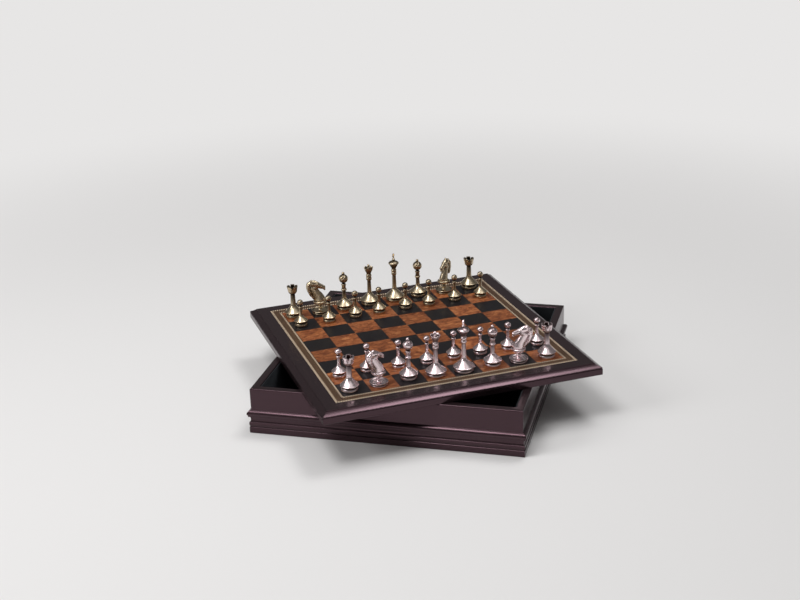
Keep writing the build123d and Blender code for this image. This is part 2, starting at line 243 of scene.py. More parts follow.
woods = {(part, k): stained_wood(f"stained_{part}_{k}", turn + k * math.pi / 2)
         for part, turn in (("box", 0.0), ("lid", lid_turn)) for k in (0, 1)}

sides = ("back", "left", "front", "right")


def arc(centre, radius, start, end, steps):
    """Points on a circle from one angle to another, in degrees: (n x 2)."""
    angle = np.radians(np.linspace(start, end, steps))
    return np.stack([centre[0] + radius * np.cos(angle), centre[1] + radius * np.sin(angle)], 1)


def bezier(a, b, c, d, steps):
    """Points of a cubic curve: (1-t)^3 a + 3t(1-t)^2 b + 3t^2(1-t) c + t^3 d."""
    t = np.linspace(0, 1, steps)[:, None]
    a, b, c, d = (np.asarray(p, float) for p in (a, b, c, d))
    return (1 - t) ** 3 * a + 3 * t * (1 - t) ** 2 * b + 3 * t ** 2 * (1 - t) * c + t ** 3 * d


def mitred_side(name, section, side, turn=0.0):
    """One side of a square frame: the section (n x 2: distance from the middle, height, in
    mm, anticlockwise) runs along the side from x = -distance to x = +distance, so that
    both ends are cut at 45 degrees, then is turned to its side."""
    distance, height = section[:, 0], section[:, 1]
    near = np.stack([-distance, distance, height], 1)
    far = np.stack([distance, distance, height], 1)
    angle = turn + side * math.pi / 2
    spin = np.array([[math.cos(angle), math.sin(angle), 0],
                     [-math.sin(angle), math.cos(angle), 0], [0, 0, 1]])
    points = np.concatenate([near, far]) @ spin * mm
    count = len(section)
    here = np.arange(count)
    after = (here + 1) % count
    faces = np.stack([here, after, after + count, here + count], 1).tolist()
    faces += [here[::-1].tolist(), (here + count).tolist()]
    return link_mesh(name, points, faces, 32)


def four_sides(stem, section, body, part, turn=0.0):
    """The four sides of a frame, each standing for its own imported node."""
    for k, side in enumerate(sides):
        piece = mitred_side(f"{stem}_{side}_wood", section, k, turn)
        piece.data.materials.append(woods[part, k % 2])
        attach(piece, body)
        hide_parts(f"{stem}_{side}")


# ------------------------------------------------------------------ box walls
# Four boards mitred at the corners, with softly rounded top edges and a rebate along
# the foot that takes the bottom.
wall_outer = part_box("wall_back")[1][1] / mm
wall_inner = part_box("wall_back")[0][1] / mm
box_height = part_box("wall_back")[1][2] / mm
bottom_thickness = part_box("bottom_panel")[1][2] / mm
bottom_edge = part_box("bottom_panel")[1][0] / mm
rim_round = 1.2

wall_section = np.concatenate([
    [(bottom_edge, 0), (wall_outer, 0)],
    arc((wall_outer - rim_round, box_height - rim_round), rim_round, 0, 90, 7),
    arc((wall_inner + rim_round, box_height - rim_round), rim_round, 90, 180, 7),
    [(wall_inner, bottom_thickness), (bottom_edge, bottom_thickness)]])
four_sides("wall", wall_section, "box", "box")

# ------------------------------------------------------------------ plinth moulding
# A moulding glued round the foot: plinth, fine groove, lower bead, hollow neck, a
# narrow fillet and the round upper bead.
bead_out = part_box("plinth_back")[1][1] / mm
glue_side = wall_outer + 0.02
plinth_out = wall_outer + 2.2
groove_out = plinth_out - 0.7
neck_out, fillet_out = wall_outer + 1.0, wall_outer + 2.9
plinth_top, bead_low, neck_top, fillet_top = 7.0, 13.4, 18.8, 20.3
moulding_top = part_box("plinth_back")[1][2] / mm


def swell(start, middle, end, steps):
    """Points of the circle through three points, from the first to the last."""
    (x1, y1), (x2, y2), (x3, y3) = start, middle, end
    d = 2 * (x1 * (y2 - y3) + x2 * (y3 - y1) + x3 * (y1 - y2))
    q1, q2, q3 = x1 ** 2 + y1 ** 2, x2 ** 2 + y2 ** 2, x3 ** 2 + y3 ** 2
    cx = (q1 * (y2 - y3) + q2 * (y3 - y1) + q3 * (y1 - y2)) / d
    cy = (q1 * (x3 - x2) + q2 * (x1 - x3) + q3 * (x2 - x1)) / d
    a1, a2, a3 = (math.degrees(math.atan2(y - cy, x - cx)) for x, y in (start, middle, end))
    a2 = a1 + (a2 - a1 + 180) % 360 - 180
    a3 = a2 + (a3 - a2 + 180) % 360 - 180
    return arc((cx, cy), math.hypot(x1 - cx, y1 - cy), a1, a3, steps)


plinth_section = np.concatenate([
    [(glue_side, moulding_top), (glue_side, 0), (plinth_out - 0.4, 0), (plinth_out, 0.4),
     (plinth_out, plinth_top - 0.3), (plinth_out - 0.3, plinth_top), (groove_out, plinth_top)],
    swell((groove_out, plinth_top + 0.2), (plinth_out, plinth_top + 3.0),
          (plinth_out - 0.1, bead_low - 1.1), 9),
    swell((neck_out, bead_low), (neck_out - 0.3, (bead_low + neck_top) / 2), (groove_out, neck_top), 9),
    [(fillet_out, neck_top), (fillet_out, fillet_top)],
    swell((fillet_out, fillet_top), (bead_out, fillet_top + 1.0),
          (bead_out - 0.3, moulding_top - 2.1), 9)[1:],
    [(bead_out - 1.7, moulding_top - 0.8)]])
four_sides("plinth", plinth_section, "box", "box")

# ------------------------------------------------------------------ board frame
# Mitred moulding round the chessboard: a flat top, a small step, a hollow that sweeps
# out to a lip, a fine groove and an upright lower face.
lid_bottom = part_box("board_panel")[0][2] / mm
lid_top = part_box("board_frame_back")[1][2] / mm
square = 30.4
panel_half = 4 * square + 11.1
flat_half = panel_half + 13.5
lid_half = flat_half + 6.2
face_top, lip_bottom, lip = lid_bottom + 6.6, lid_bottom + 7.2, lid_bottom + 7.9
step = lid_top - 0.9
ledge = flat_half + 0.6

frame_section = np.concatenate([
    [(panel_half, lid_bottom), (lid_half - 0.3, lid_bottom), (lid_half, lid_bottom + 0.3),
     (lid_half, face_top - 0.2), (lid_half - 0.2, face_top), (lid_half - 0.6, face_top),
     (lid_half - 0.6, lip_bottom), (lid_half - 0.2, lip_bottom), (lid_half, lip_bottom + 0.2),
     (lid_half, lip - 0.25)],
    bezier((lid_half - 0.2, lip), (ledge + 3.5, lip + 0.85), (ledge + 1.5, lip + 1.85),
           (ledge, step), 12),
    [(flat_half + 0.05, step), (flat_half, lid_top - 0.25), (flat_half - 0.25, lid_top),
     (panel_half, lid_top)]])
four_sides("board_frame", frame_section, "board_lid", "lid", lid_turn)

# ------------------------------------------------------------------ bottom and ring
# Bottom board, the board's own core and the round locating ring are of the same
# stained wood, seen only from below or with the lid lifted.


def coat(node, material):
    """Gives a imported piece, used as it is, its own material."""
    coats = frame["nodes"][node].data.materials
    coats.clear()
    coats.append(material)


coat("bottom_panel", woods["box", 0])
coat("board_panel", woods["lid", 0])
coat("locating_ring", woods["box", 0])

# ------------------------------------------------------------------ felt lining
# Near-black felt with a slight cool cast lines the floor and the walls of the box and
# the underside of the lid within the ring.
nap_depth = 0.0002            # metres

felt, nodes, links, shader = node_material("black_green_felt")
place = nodes.new("ShaderNodeTexCoord")
fibres = nodes.new("ShaderNodeTexNoise")
fibres.inputs["Scale"].default_value = 2600.0
fibres.inputs["Detail"].default_value = 3.0
links.new(place.outputs["Object"], fibres.inputs["Vector"])
nap = nodes.new("ShaderNodeTexNoise")
nap.inputs["Scale"].default_value = 45.0
nap.inputs["Detail"].default_value = 4.0
links.new(place.outputs["Object"], nap.inputs["Vector"])
both = nodes.new("ShaderNodeMath")
both.operation = "MULTIPLY_ADD"
both.inputs[1].default_value = 0.5
links.new(nap.outputs["Fac"], both.inputs[0])
links.new(spread(nodes, links, fibres.outputs["Fac"], 0.0, 0.5), both.inputs[2])
links.new(ramp(nodes, links, both.outputs["Value"], (0.3, (0.008, 0.009, 0.010)),
               (0.7, (0.022, 0.025, 0.027))), shader.inputs["Base Color"])
shader.inputs["Roughness"].default_value = 0.95
shader.inputs["Specular IOR Level"].default_value = 0.15
shader.inputs["Sheen Weight"].default_value = 0.25
shader.inputs["Sheen Roughness"].default_value = 0.5
shader.inputs["Sheen Tint"].default_value = (0.36, 0.39, 0.44, 1.0)
raised(nodes, links, shader, fibres.outputs["Fac"], nap_depth)
for node in ("floor_lining", "wall_lining", "lid_lining"):
    coat(node, felt)

# ------------------------------------------------------------------ playing squares
# Light squares are orange-brown burl veneer, each cut from another place of the leaf;
# dark squares are dyed near-black. All lie under one semi-gloss lacquer.
pore_depth = 0.00003          # metres


def board_place(nodes, links):
    """Object coordinates turned back so that the board's own sides lie along X and Y."""
    place = nodes.new("ShaderNodeTexCoord")
    turn = nodes.new("ShaderNodeMapping")
    turn.inputs["Rotation"].default_value = (0.0, 0.0, -lid_turn)
    links.new(place.outputs["Object"], turn.inputs["Vector"])
    return turn.outputs["Vector"]


def each_square(nodes, links, vector):
    """One random colour and number for each playing square."""
    cells = nodes.new("ShaderNodeVectorMath")
    cells.operation = "DIVIDE"
    cells.inputs[1].default_value = (square * mm, square * mm, 1.0)
    links.new(vector, cells.inputs[0])
    whole = nodes.new("ShaderNodeVectorMath")
    whole.operation = "FLOOR"
    links.new(cells.outputs["Vector"], whole.inputs[0])
    chance = nodes.new("ShaderNodeTexWhiteNoise")
    chance.noise_dimensions = "3D"
    links.new(whole.outputs["Vector"], chance.inputs["Vector"])
    return chance.outputs["Color"], chance.outputs["Value"]


def lacquer(shader):
    """The board's one clear finish."""
    shader.inputs["Specular IOR Level"].default_value = 0.14


burl, nodes, links, shader = node_material("burl_veneer")
vector = board_place(nodes, links)
colour, number = each_square(nodes, links, vector)
offset = nodes.new("ShaderNodeVectorMath")
offset.operation = "MULTIPLY_ADD"
offset.inputs[1].default_value = (0.7, 0.7, 0.0)
links.new(colour, offset.inputs[0])
links.new(vector, offset.inputs[2])
stretch = nodes.new("ShaderNodeVectorMath")
stretch.operation = "MULTIPLY"
stretch.inputs[1].default_value = (0.55, 1.0, 1.0)
links.new(offset.outputs["Vector"], stretch.inputs[0])
clouds = nodes.new("ShaderNodeTexNoise")
clouds.inputs["Scale"].default_value = 135.0
clouds.inputs["Detail"].default_value = 7.0
clouds.inputs["Roughness"].default_value = 0.66
clouds.inputs["Distortion"].default_value = 1.6
links.new(stretch.outputs["Vector"], clouds.inputs["Vector"])
figure = nodes.new("ShaderNodeTexNoise")
figure.inputs["Scale"].default_value = 1100.0
figure.inputs["Detail"].default_value = 4.0
figure.inputs["Distortion"].default_value = 2.2
links.new(stretch.outputs["Vector"], figure.inputs["Vector"])
mixed = nodes.new("ShaderNodeMix")
mixed.inputs["Factor"].default_value = 0.30
links.new(clouds.outputs["Fac"], mixed.inputs["A"])
links.new(figure.outputs["Fac"], mixed.inputs["B"])
leaf = ramp(nodes, links, mixed.outputs["Result"], (0.36, (0.065, 0.018, 0.009)),
            (0.45, (0.205, 0.062, 0.025)), (0.54, (0.350, 0.118, 0.044)), (0.64, (0.560, 0.235, 0.095)))
shade = nodes.new("ShaderNodeMix")
shade.data_type = "RGBA"
shade.blend_type = "MULTIPLY"
shade.inputs["Factor"].default_value = 1.0
links.new(leaf, shade.inputs["A"])
own_shade = ramp(nodes, links, number, (0.0, (0.66, 0.62, 0.60)), (1.0, (1.05, 1.03, 1.00)))
links.new(own_shade, shade.inputs["B"])
links.new(shade.outputs["Result"], shader.inputs["Base Color"])
links.new(spread(nodes, links, figure.outputs["Fac"], 0.24, 0.38), shader.inputs["Roughness"])
lacquer(shader)
raised(nodes, links, shader, mixed.outputs["Result"], pore_depth)
coat("light_squares", burl)

ebonised, nodes, links, shader = node_material("black_veneer")
vector = board_place(nodes, links)
pores = nodes.new("ShaderNodeVectorMath")
pores.operation = "MULTIPLY"
pores.inputs[1].default_value = (0.12, 1.0, 1.0)
links.new(vector, pores.inputs[0])
fine = nodes.new("ShaderNodeTexNoise")
fine.inputs["Scale"].default_value = 900.0
fine.inputs["Detail"].default_value = 5.0
links.new(pores.outputs["Vector"], fine.inputs["Vector"])
links.new(ramp(nodes, links, fine.outputs["Fac"], (0.3, (0.007, 0.006, 0.007)),
               (0.7, (0.018, 0.016, 0.018))), shader.inputs["Base Color"])
links.new(spread(nodes, links, fine.outputs["Fac"], 0.26, 0.40), shader.inputs["Roughness"])
lacquer(shader)
raised(nodes, links, shader, fine.outputs["Fac"], pore_depth)
for node in ("dark_squares", "edge_line"):
    coat(node, ebonised)

# ------------------------------------------------------------------ inlaid border
# Three bands of tiny chequered strips run round the playing field: a bright outer line,
# a brown middle band and a thinner inner line. The light and dark ticks of neighbouring
# bands are set half a step apart.
tick = 2.6                    # mm, one light and one dark strip together
steps_added = 500.0           # keeps the count of strips above zero all along a side
soft_edge = 0.04              # share of a tick over which light turns to dark


def chequered(name, light, dark, share, shift):
    """Light and dark ticks that follow each other along the side they lie on."""
    material, nodes, links, shader = node_material(name)
    vector = board_place(nodes, links)
    parts = nodes.new("ShaderNodeSeparateXYZ")
    links.new(vector, parts.inputs["Vector"])
    size = {}
    for axis in "XY":
        size[axis] = nodes.new("ShaderNodeMath")
        size[axis].operation = "ABSOLUTE"
        links.new(parts.outputs[axis], size[axis].inputs[0])
    on_x_side = nodes.new("ShaderNodeMath")
    on_x_side.operation = "GREATER_THAN"
    links.new(size["X"].outputs["Value"], on_x_side.inputs[0])
    links.new(size["Y"].outputs["Value"], on_x_side.inputs[1])
    along = nodes.new("ShaderNodeMix")
    links.new(on_x_side.outputs["Value"], along.inputs["Factor"])
    links.new(parts.outputs["X"], along.inputs["A"])
    links.new(parts.outputs["Y"], along.inputs["B"])
    steps = nodes.new("ShaderNodeMath")
    steps.operation = "MULTIPLY_ADD"
    steps.inputs[1].default_value = 1.0 / (tick * mm)
    steps.inputs[2].default_value = shift + steps_added
    links.new(along.outputs["Result"], steps.inputs[0])
    saw = nodes.new("ShaderNodeMath")
    saw.operation = "FRACT"
    links.new(steps.outputs["Value"], saw.inputs[0])
    is_dark = ramp(nodes, links, saw.outputs["Value"], (share - soft_edge, (0, 0, 0)),
                   (share + soft_edge, (1, 1, 1)))
    wear = nodes.new("ShaderNodeTexNoise")
    wear.inputs["Scale"].default_value = 700.0
    links.new(vector, wear.inputs["Vector"])
    tones = [ramp(nodes, links, wear.outputs["Fac"], (0.3, tuple(0.78 * c for c in tone)), (0.7, tone))
             for tone in (light, dark)]
    pick = nodes.new("ShaderNodeMix")
    pick.data_type = "RGBA"
    links.new(is_dark, pick.inputs["Factor"])
    links.new(tones[0], pick.inputs["A"])
    links.new(tones[1], pick.inputs["B"])
    links.new(pick.outputs["Result"], shader.inputs["Base Color"])
    links.new(spread(nodes, links, wear.outputs["Fac"], 0.28, 0.40), shader.inputs["Roughness"])
    lacquer(shader)
    return material


bright_line = chequered("bright_line", (0.82, 0.64, 0.46), (0.025, 0.014, 0.010), 0.52, 0.0)
brown_band = chequered("brown_band", (0.20, 0.115, 0.065), (0.020, 0.011, 0.008), 0.42, 0.5)
coat("pale_lines", bright_line)
coat("inlay_band", brown_band)

# ------------------------------------------------------------------ chessmen's metals
# Both sides are die-cast and plated: one side polished nickel, whose rosy cast is a painted
# reflection of pink surroundings, the other antique brass. The value stored at each point says how
# deep it lies in a groove or under an overhang; both metals are darkened there as painted shade,
# which on the brass also stands for its dark patina.


def plated(name, bright, dark, roughness):
    """Polished plating whose colour is darkened in grooves and under rims as painted shade, on the brass
    also as patina.
    """
    material, nodes, links, shader = node_material(name)
    groove = nodes.new("ShaderNodeAttribute")
    groove.attribute_name = "patina_and_shade"
    place = nodes.new("ShaderNodeTexCoord")
    cloud = nodes.new("ShaderNodeTexNoise")
    cloud.inputs["Scale"].default_value = 420.0
    cloud.inputs["Detail"].default_value = 3.0
    links.new(place.outputs["Object"], cloud.inputs["Vector"])
    # Random tarnish plus the stored groove depth; the depth darkens the colour as painted shade.
    tarnish_and_shade = nodes.new("ShaderNodeMath")
    tarnish_and_shade.operation = "MULTIPLY_ADD"
    tarnish_and_shade.inputs[1].default_value = 0.22
    links.new(cloud.outputs["Fac"], tarnish_and_shade.inputs[0])
    links.new(groove.outputs["Fac"], tarnish_and_shade.inputs[2])
    links.new(ramp(nodes, links, tarnish_and_shade.outputs["Value"], (0.17, bright),
                   (0.42, tuple(0.5 * b + 0.5 * d for b, d in zip(bright, dark))), (0.80, dark)),
              shader.inputs["Base Color"])
    links.new(spread(nodes, links, tarnish_and_shade.outputs["Value"], roughness, roughness + 0.22),
              shader.inputs["Roughness"])
    shader.inputs["Metallic"].default_value = 1.0
    return material


# The nickel's rosy colour is a painted reflection of pink surroundings; each dark colour is the painted
# shade in grooves and under rims.
metals = {"silver": plated("nickel_painted_rosy", (0.93, 0.77, 0.79), (0.07, 0.035, 0.035), 0.22),
          "bronze": plated("antique_brass", (0.58, 0.475, 0.33), (0.022, 0.014, 0.009), 0.24)}

# ------------------------------------------------------------------ turned chessmen
# Pawns, rooks, bishops, queens and kings: a disc, a groove darkened by painted shade and real shade, and
# a sharp rim, then a skirt that sweeps up into the stem, rings, and each man's own head. Sizes in mm.
around = 72
rim_points = 17               # of a foot's outline, from the middle out to the rim's top
dish_from = rim_points + 2    # a knight's dish starts at this point of its outline
theta = np.linspace(0, 2 * math.pi, around, endpoint=False)


def foot_and_stem(foot, stem, skirt, tall=1.24):
    """Outline of disc, groove and rim (radius, height), and the skirt up to the stem; the
    part under the skirt is made so many times taller."""
    rim, disc = foot / 2, foot * 0.435
    base, top = 5.6 * tall, 2.5 + skirt + 2.4 * tall
    run = stem / 2 - rim
    return np.concatenate([(1, tall) * np.array(
        [(0, 0), (disc - 0.1, 0), (disc + 0.25, 0.2), (disc + 0.5, 0.6), (disc + 0.55, 1.1),
         (disc + 0.45, 1.8), (disc + 0.15, 2.6), (disc - 0.35, 3.2), (disc - 0.9, 3.45),
         (disc - 1.5, 3.5), (disc - 1.5, 4.1), (disc - 1.2, 4.2), (rim - 0.5, 4.25),
         (rim, 4.5), (rim + 0.2, 4.85), (rim + 0.2, 5.2), (rim, 5.5)]),
        bezier((rim - 0.25, base), (rim + 0.46 * run, base + 0.33 * (top - base)),
               (stem / 2 - 0.01 * run, base + 0.68 * (top - base)),
               (stem / 2, top), 22)])


def rings(waist, edge, *heights):
    """Rounded rings between the given heights, each drawn in to a waist."""
    return np.concatenate([swell((waist, low), (edge, (low + high) / 2), (waist, high), 9)
                           for low, high in zip(heights, heights[1:])])


def ball(radius, middle, start, steps=14):
    """A ball up to the pole, from the angle where it leaves what carries it."""
    return arc((0, middle), radius, start, 90, steps)


def pawn_outline():
    return np.concatenate([foot_and_stem(15.4, 3.5, 8.2), [(1.5, 20.9)], rings(1.9, 2.45, 21.1, 23.3),
                           [(1.25, 23.4), (1.2, 24.3)], ball(3.45, 27.85, -69)])


def bishop_outline():
    return np.concatenate([foot_and_stem(19.2, 4.8, 8.8), [(2.05, 22.8)], rings(2.75, 3.3, 22.9, 25.1),
                           [(2.4, 25.2), (2.35, 28.8)], rings(2.4, 2.9, 28.9, 31.1),
                           [(1.7, 31.2), (1.65, 32.4)],
                           swell((1.65, 32.5), (5.3, 37.4), (1.3, 42.5), 30), ball(1.7, 43.95, -50)])


def crowned_outline(foot, stem, skirt, collar, low, high, neck):
    """Stem, two rings and the neck that kings and queens share, dark from real shade under the crown and
    from the metal's painted shade.
    """
    return np.concatenate([foot_and_stem(foot, stem, skirt, 1.04), [(stem * 0.43, low - 0.1)],
                           rings(collar - 0.55, collar, low, (low + high) / 2, high),
                           [(collar * 0.8, high + 0.1)], bezier(
                               (collar * 0.8, high + 0.2), (collar * 0.78, high + 2.0),
                               (neck[0] - 0.6, neck[1] - 1.6), neck, 9)])


def king_outline():
    return np.concatenate([crowned_outline(22.4, 5.1, 10.7, 3.1, 31.0, 38.2, (4.5, 43.0)),
                           bezier((4.55, 43.1), (5.0, 44.4), (5.7, 44.5), (6.0, 45.2), 8),
                           [(6.1, 45.7), (6.0, 46.2), (5.7, 46.6)],
                           bezier((5.5, 46.8), (4.6, 47.7), (2.8, 48.3), (1.3, 48.7), 8),
                           ball(1.75, 49.75, -46)])


def queen_outline():
    return crowned_outline(21.8, 5.0, 10.0, 3.3, 29.4, 36.6, (4.0, 40.7))


def spun(outline):
    """The outline turned about its axis: rows x columns x (x, y, z)."""
    radius, height = outline[:, :1], outline[:, 1:]
    return np.stack([radius * np.cos(theta), radius * np.sin(theta), height + 0 * theta], 2)


def queen_rows():
    """A queen: the coronet's edge rises and falls in nine points round the turned body."""
    wave = np.abs(np.cos(4.5 * theta)) ** 0.7
    rows = [(4.3 + 0 * wave, 41.4), (4.75 + 0 * wave, 42.3), (5.0 + 0.1 * wave, 43.2),
            (5.1 + 0.3 * wave, 43.6 + 1.2 * wave), (5.0 + 0.35 * wave, 43.8 + 1.45 * wave),
            (4.5 + 0.2 * wave, 43.7 + 1.1 * wave), (4.1, 43.3), (3.8, 43.2),
            (3.2, 44.2), (2.4, 45.0), (1.5, 45.6), (0.95, 45.95)]
    crown = [np.stack([r * np.cos(theta), r * np.sin(theta), z + 0 * theta], 1) for r, z in rows]
    return np.concatenate([spun(queen_outline()), crown, spun(ball(1.5, 47.3, -50))])


def rook_rows():
    """A rook: the cup's edge is cut by five notches, wider at the top than below."""
    base = np.concatenate([foot_and_stem(19.2, 6.0, 10.4), [(2.6, 27.2), (2.4, 27.5), (2.4, 28.0)],
                           swell((2.5, 27.9), (4.6, 29.9), (5.3, 32.3), 10)])
    phase = (theta * 5 / (2 * math.pi)) % 1.0
    depth = np.clip((0.20 - np.abs(phase - 0.5)) / 0.15, 0, 1)
    edge = 37.5 - 3.3 * depth
    cup = []
    for share in (0.25, 0.5, 0.75, 0.94):
        z = 32.3 + (edge - 32.3) * share
        cup.append((5.3 + 0.95 * (z - 32.3) / 5.2, z))
    cup += [(6.05 - 0.5 * depth, edge), (4.1 + 0 * edge, edge), (3.85 + 0 * edge, edge - 0.25),
            (3.8, 34.0 + 0 * edge), (3.2, 33.8)]
    cup = [np.stack([r * np.cos(theta), r * np.sin(theta), z + 0 * theta], 1) for r, z in cup]
    return np.concatenate([spun(base), cup, spun(np.array([(0.0, 33.8)]))])


def bishop_rows():
    """A bishop: a slanting slit is cut into the side of the turned head."""
    rows = spun(bishop_outline())
    lean = math.radians(42)
    off = (rows[..., 0] - 5.3) * math.sin(lean) + (rows[..., 2] - 38.4) * math.cos(lean)
    head = (rows[..., 2] > 33.0) & (rows[..., 2] < 42.4) & (rows[..., 0] > -0.5)
    cut = np.clip(1.35 - np.abs(off) / 0.36, 0, 1) * head
    rows[..., :2] *= (1 - 0.26 * cut)[..., None]
    return rows


# Painted shade in hollows, in mm: a groove's rims are looked for this far up and down, and it is full at
# this depth; an overhang is looked for this far above, counts from its least width and is
# full when it is so much wider. The sweep of the skirt and points on the axis are plain.
groove_reach, groove_full = 1.7, 1.5
shelter_reach, shelter_least, shelter_full = 3.2, 0.4, 3.0
skirt_low, skirt_high, near_axis, dish_top = 5.5, 14, 0.6, 5.7
plain_share = 0.12            # of its hollow that a plain point keeps


def man_mesh(rows, extra=(), dish=1.0):
    """A closed mesh from rows of points; the first and last rows close to single points,
    and each point stores how deep it lies in a groove of the outline or under an overhang,
    which the metals paint as shade. Extra holds more closed forms (points, faces, depths),
    and dish is the share of depth kept in a dish."""
    count, _, _ = rows.shape
    radius = np.hypot(rows[..., 0], rows[..., 1])
    height = rows[..., 2]
    # Depth in grooves and under overhangs, which the metals turn into painted shade.
    patina_and_shade = np.zeros(radius.shape)
    mean_r, mean_z = radius.mean(1), height.mean(1)
    for k in range(count):
        near = np.abs(mean_z - mean_z[k]) < groove_reach
        above = (np.abs(mean_z - mean_z[k]) < shelter_reach) & (mean_z > mean_z[k])
        groove = (mean_r[near].max() - mean_r[k]) / groove_full
        shelter = (mean_r[above].max(initial=0) - mean_r[k] - shelter_least) / shelter_full
        patina_and_shade[k] = np.clip(groove, 0, 1) * 0.5 + np.clip(shelter, 0, 1) * 0.5
    plain = (mean_z < skirt_high) & (mean_z > skirt_low) | (mean_r < near_axis)
    in_dish = (np.arange(count) >= dish_from) & (mean_z < dish_top)
    kept = np.where(plain, plain_share, np.where(in_dish, dish, 1.0))
    patina_and_shade = np.minimum(patina_and_shade * kept[:, None], 1.0)
    points = [rows[0, :1]] + [rows[k] for k in range(1, count - 1)] + [rows[-1, :1]]
    depth = [patina_and_shade[0, :1]] + [patina_and_shade[k] for k in range(1, count - 1)] + [patina_and_shade[-1, :1]]
    here = np.arange(around)
    after = (here + 1) % around
    faces = [(0, 1 + b, 1 + a) for a, b in zip(here, after)]
    for k in range(count - 3):
        low = 1 + k * around
        faces += np.stack([low + here, low + after, low + around + after, low + around + here],
                          1).tolist()
    last = 1 + (count - 2) * around
    faces += [(last - around + a, last - around + b, last) for a, b in zip(here, after)]
    points, depth = np.concatenate(points), np.concatenate(depth)
    for more, sides, sunk in extra:
        faces += [[i + len(points) for i in side] for side in sides]
        points, depth = np.concatenate([points, more]), np.concatenate([depth, sunk])
    return points, faces, depth


def cross(turn):
    """The king's cross: four arms that widen outwards, turned about the king's axis."""
    shape = np.array([(-0.8, 50.2), (0.8, 50.2), (0.5, 54.3), (2.2, 53.9), (2.2, 55.6), (0.5, 55.3),
                      (0.85, 57.1), (-0.85, 57.1), (-0.5, 55.3), (-2.2, 55.6), (-2.2, 53.9),
                      (-0.5, 54.3)])
    count = len(shape)
    layers = [np.stack([shape[:, 0] * s, 0 * shape[:, 0] + y, 54.6 + (shape[:, 1] - 54.6) * t], 1)
              for y, s, t in ((-0.85, 0.84, 0.95), (-0.62, 1, 1), (0.62, 1, 1), (0.85, 0.84, 0.95))]
    points = np.concatenate(layers)
    here = np.arange(count)
    after = (here + 1) % count
    sides = [list(range(count)), list(range(3 * count, 4 * count))[::-1]]
    for k in range(3):
        low = k * count
        sides += np.stack([low + here, low + count + here, low + count + after, low + after], 1).tolist()
    c, s = math.cos(turn), math.sin(turn)
    return points @ np.array([[c, s, 0], [-s, c, 0], [0, 0, 1]]), sides, np.zeros(4 * count)


def set_down(name, kind_points, faces, depth, facing, smooth=38):
    """Places a man on its square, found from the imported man's own foot, facing so many
    radians round, and gives it its side's metal."""
    packed = frame["nodes"][name]
    spots = np.empty(len(packed.data.vertices) * 3)
    packed.data.vertices.foreach_get("co", spots)
    spots = spots.reshape(-1, 3)
    low = spots[:, 2].min()
    foot = spots[spots[:, 2] < low + 0.0002]
    centre = (foot.min(0) + foot.max(0)) / 2
    c, s = math.cos(facing), math.sin(facing)
    spin = np.array([[c, s, 0], [-s, c, 0], [0, 0, 1]])
    points = kind_points @ spin * mm + (centre[0], centre[1], low)
    piece = link_mesh(f"{name}_cast", points, faces, smooth)
    # Each point's groove and overhang depth, kept for the metal's painted shade.
    piece.data.attributes.new("patina_and_shade", "FLOAT", "POINT").data.foreach_set("value", depth)
    piece.data.materials.append(metals[name.split("_")[0]])
    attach(piece, name)
    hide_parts(name)
    return piece


turned = {"pawn": man_mesh(spun(pawn_outline())), "rook": man_mesh(rook_rows()),
          "bishop": man_mesh(bishop_rows()), "queen": man_mesh(queen_rows()),
          "king": man_mesh(spun(king_outline()), [cross(math.radians(52))])}
look = {"silver_bishop": math.radians(-55), "bronze_bishop": math.radians(-150)}
for name in frame["nodes"]:
    colour, _, rest = name.partition("_")
    kind = rest.partition("_")[0]
    if colour in metals and kind in turned:
        set_down(name, *turned[kind], lid_turn + look.get(f"{colour}_{kind}", 0.0))

# ------------------------------------------------------------------ knights
# A horse's head and neck stand on a bowl, a bead and a dished foot. The horse is built
# of overlapping rounded forms that are grown together into one casting.
casting_voxel = 0.00028       # metres
# These two set the painted shade in the knights' grooves and in the foot's dish.
full_hollow = 0.22            # mm of filling at which a groove counts as fully deep
dish_share = 0.12             # of its hollow that the foot's dish keeps
mane_locks = ((37.4, 31.0, 1.0), (35.0, 26.6, 1.9), (32.0, 22.6, 2.6))    # from, down to, how far out


def foot_of_knight():
    """Outline of disc, rim, dished saucer, waist, bead and bowl up to the horse's neck."""
    return np.concatenate([
        foot_and_stem(19.6, 5.0, 2.0, 0.8)[:rim_points],
        [(9.4, 4.4), (8.8, 3.9), (7.6, 3.4), (5.6, 3.3), (3.6, 4.0), (2.2, 5.2)],
        swell((1.9, 6.0), (2.7, 7.6), (1.9, 9.2), 9), [(1.6, 9.5), (1.6, 10.4)],
        bezier((2.2, 10.9), (4.8, 11.1), (7.0, 12.1), (7.35, 14.0), 9),
        [(7.4, 14.7), (7.0, 15.3), (6.0, 15.7), (4.0, 16.2)], [(0, 16.6)]])


